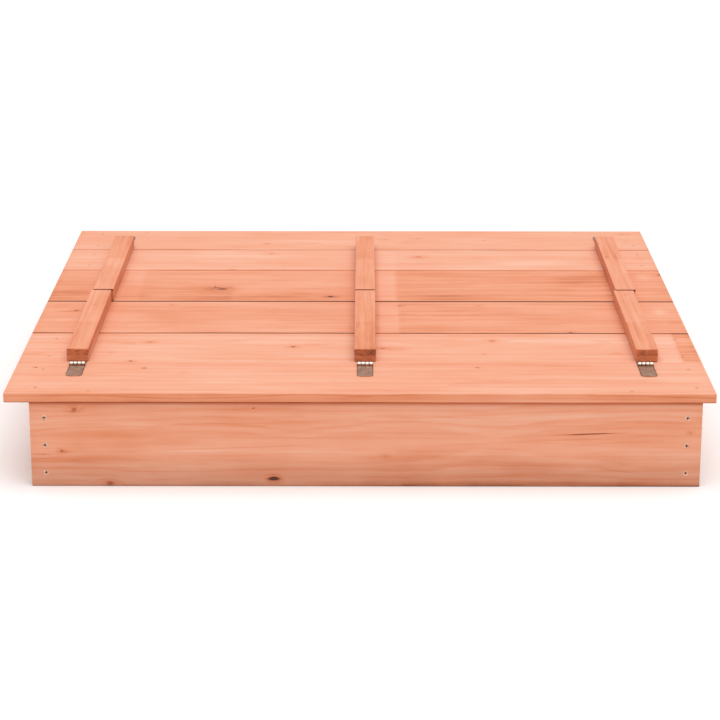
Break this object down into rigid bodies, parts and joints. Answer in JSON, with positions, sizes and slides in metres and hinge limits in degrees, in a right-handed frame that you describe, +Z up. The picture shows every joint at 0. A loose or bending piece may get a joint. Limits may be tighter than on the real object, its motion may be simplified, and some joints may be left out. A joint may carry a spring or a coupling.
{
  "type": "sandbox with cover",
  "caption": "Low square wooden sandbox whose flat board cover folds open on hinged battens into two bench seats with backrests.",
  "frame": {"origin": "on the ground under the centre of the cover", "axes": "+X to the right along the boards, +Y from the front panel to the rear panel, +Z up"},
  "size_m": [0.95, 0.9, 0.1515],
  "materials": {
    "cover_wood": "salmon-orange stained fir, satin, sawn and planed",
    "batten_wood": "orange stained fir, satin",
    "panel_wood": "orange-brown stained fir, satin",
    "post_wood": "lightly stained fir, matt",
    "hinge_steel": "zinc plated pressed steel",
    "hinge_pin": "bright steel wire",
    "screw": "zinc plated",
    "nail": "dull steel"
  },
  "bodies": {
    "box": {"front_panel": "panel_wood", "rear_panel": "panel_wood", "left_panel": "panel_wood", "right_panel": "panel_wood", "corner_post_front_left": "post_wood", "corner_post_front_right": "post_wood", "corner_post_rear_left": "post_wood", "corner_post_rear_right": "post_wood", "front_outer_seat_board": "cover_wood", "front_inner_seat_board": "cover_wood", "rear_inner_seat_board": "cover_wood", "rear_outer_seat_board": "cover_wood", "front_panel_screws": "screw", "rear_panel_screws": "screw", "left_panel_screws": "screw", "right_panel_screws": "screw", "front_seat_nails": "nail", "rear_seat_nails": "nail", "front_seat_leaf_left": "hinge_steel", "front_seat_leaf_middle": "hinge_steel", "front_seat_leaf_right": "hinge_steel", "front_hinge_pin_left": "hinge_pin", "front_hinge_pin_middle": "hinge_pin", "front_hinge_pin_right": "hinge_pin", "front_seat_hinge_screws": "screw", "rear_seat_leaf_left": "hinge_steel", "rear_seat_leaf_middle": "hinge_steel", "rear_seat_leaf_right": "hinge_steel", "rear_hinge_pin_left": "hinge_pin", "rear_hinge_pin_middle": "hinge_pin", "rear_hinge_pin_right": "hinge_pin", "rear_seat_hinge_screws": "screw"},
    "front_rest": {"front_rest_board": "cover_wood", "front_batten_left": "batten_wood", "front_batten_middle": "batten_wood", "front_batten_right": "batten_wood", "front_rest_leaf_left": "hinge_steel", "front_rest_leaf_middle": "hinge_steel", "front_rest_leaf_right": "hinge_steel", "front_rest_screws": "screw", "front_rest_hinge_screws": "screw"},
    "rear_rest": {"rear_rest_board": "cover_wood", "rear_batten_left": "batten_wood", "rear_batten_middle": "batten_wood", "rear_batten_right": "batten_wood", "rear_rest_leaf_left": "hinge_steel", "rear_rest_leaf_middle": "hinge_steel", "rear_rest_leaf_right": "hinge_steel", "rear_rest_screws": "screw", "rear_rest_hinge_screws": "screw"}
  },
  "joints": [
    {"name": "front_rest_fold", "type": "hinge", "parent": "box", "child": "front_rest", "pos_m": [0.007, -0.325, 0.1361], "axis": [1, 0, 0], "range_deg": [0, 144]},
    {"name": "rear_rest_fold", "type": "hinge", "parent": "box", "child": "rear_rest", "pos_m": [0.007, 0.358, 0.1361], "axis": [-1, 0, 0], "range_deg": [0, 144]}
  ]
}
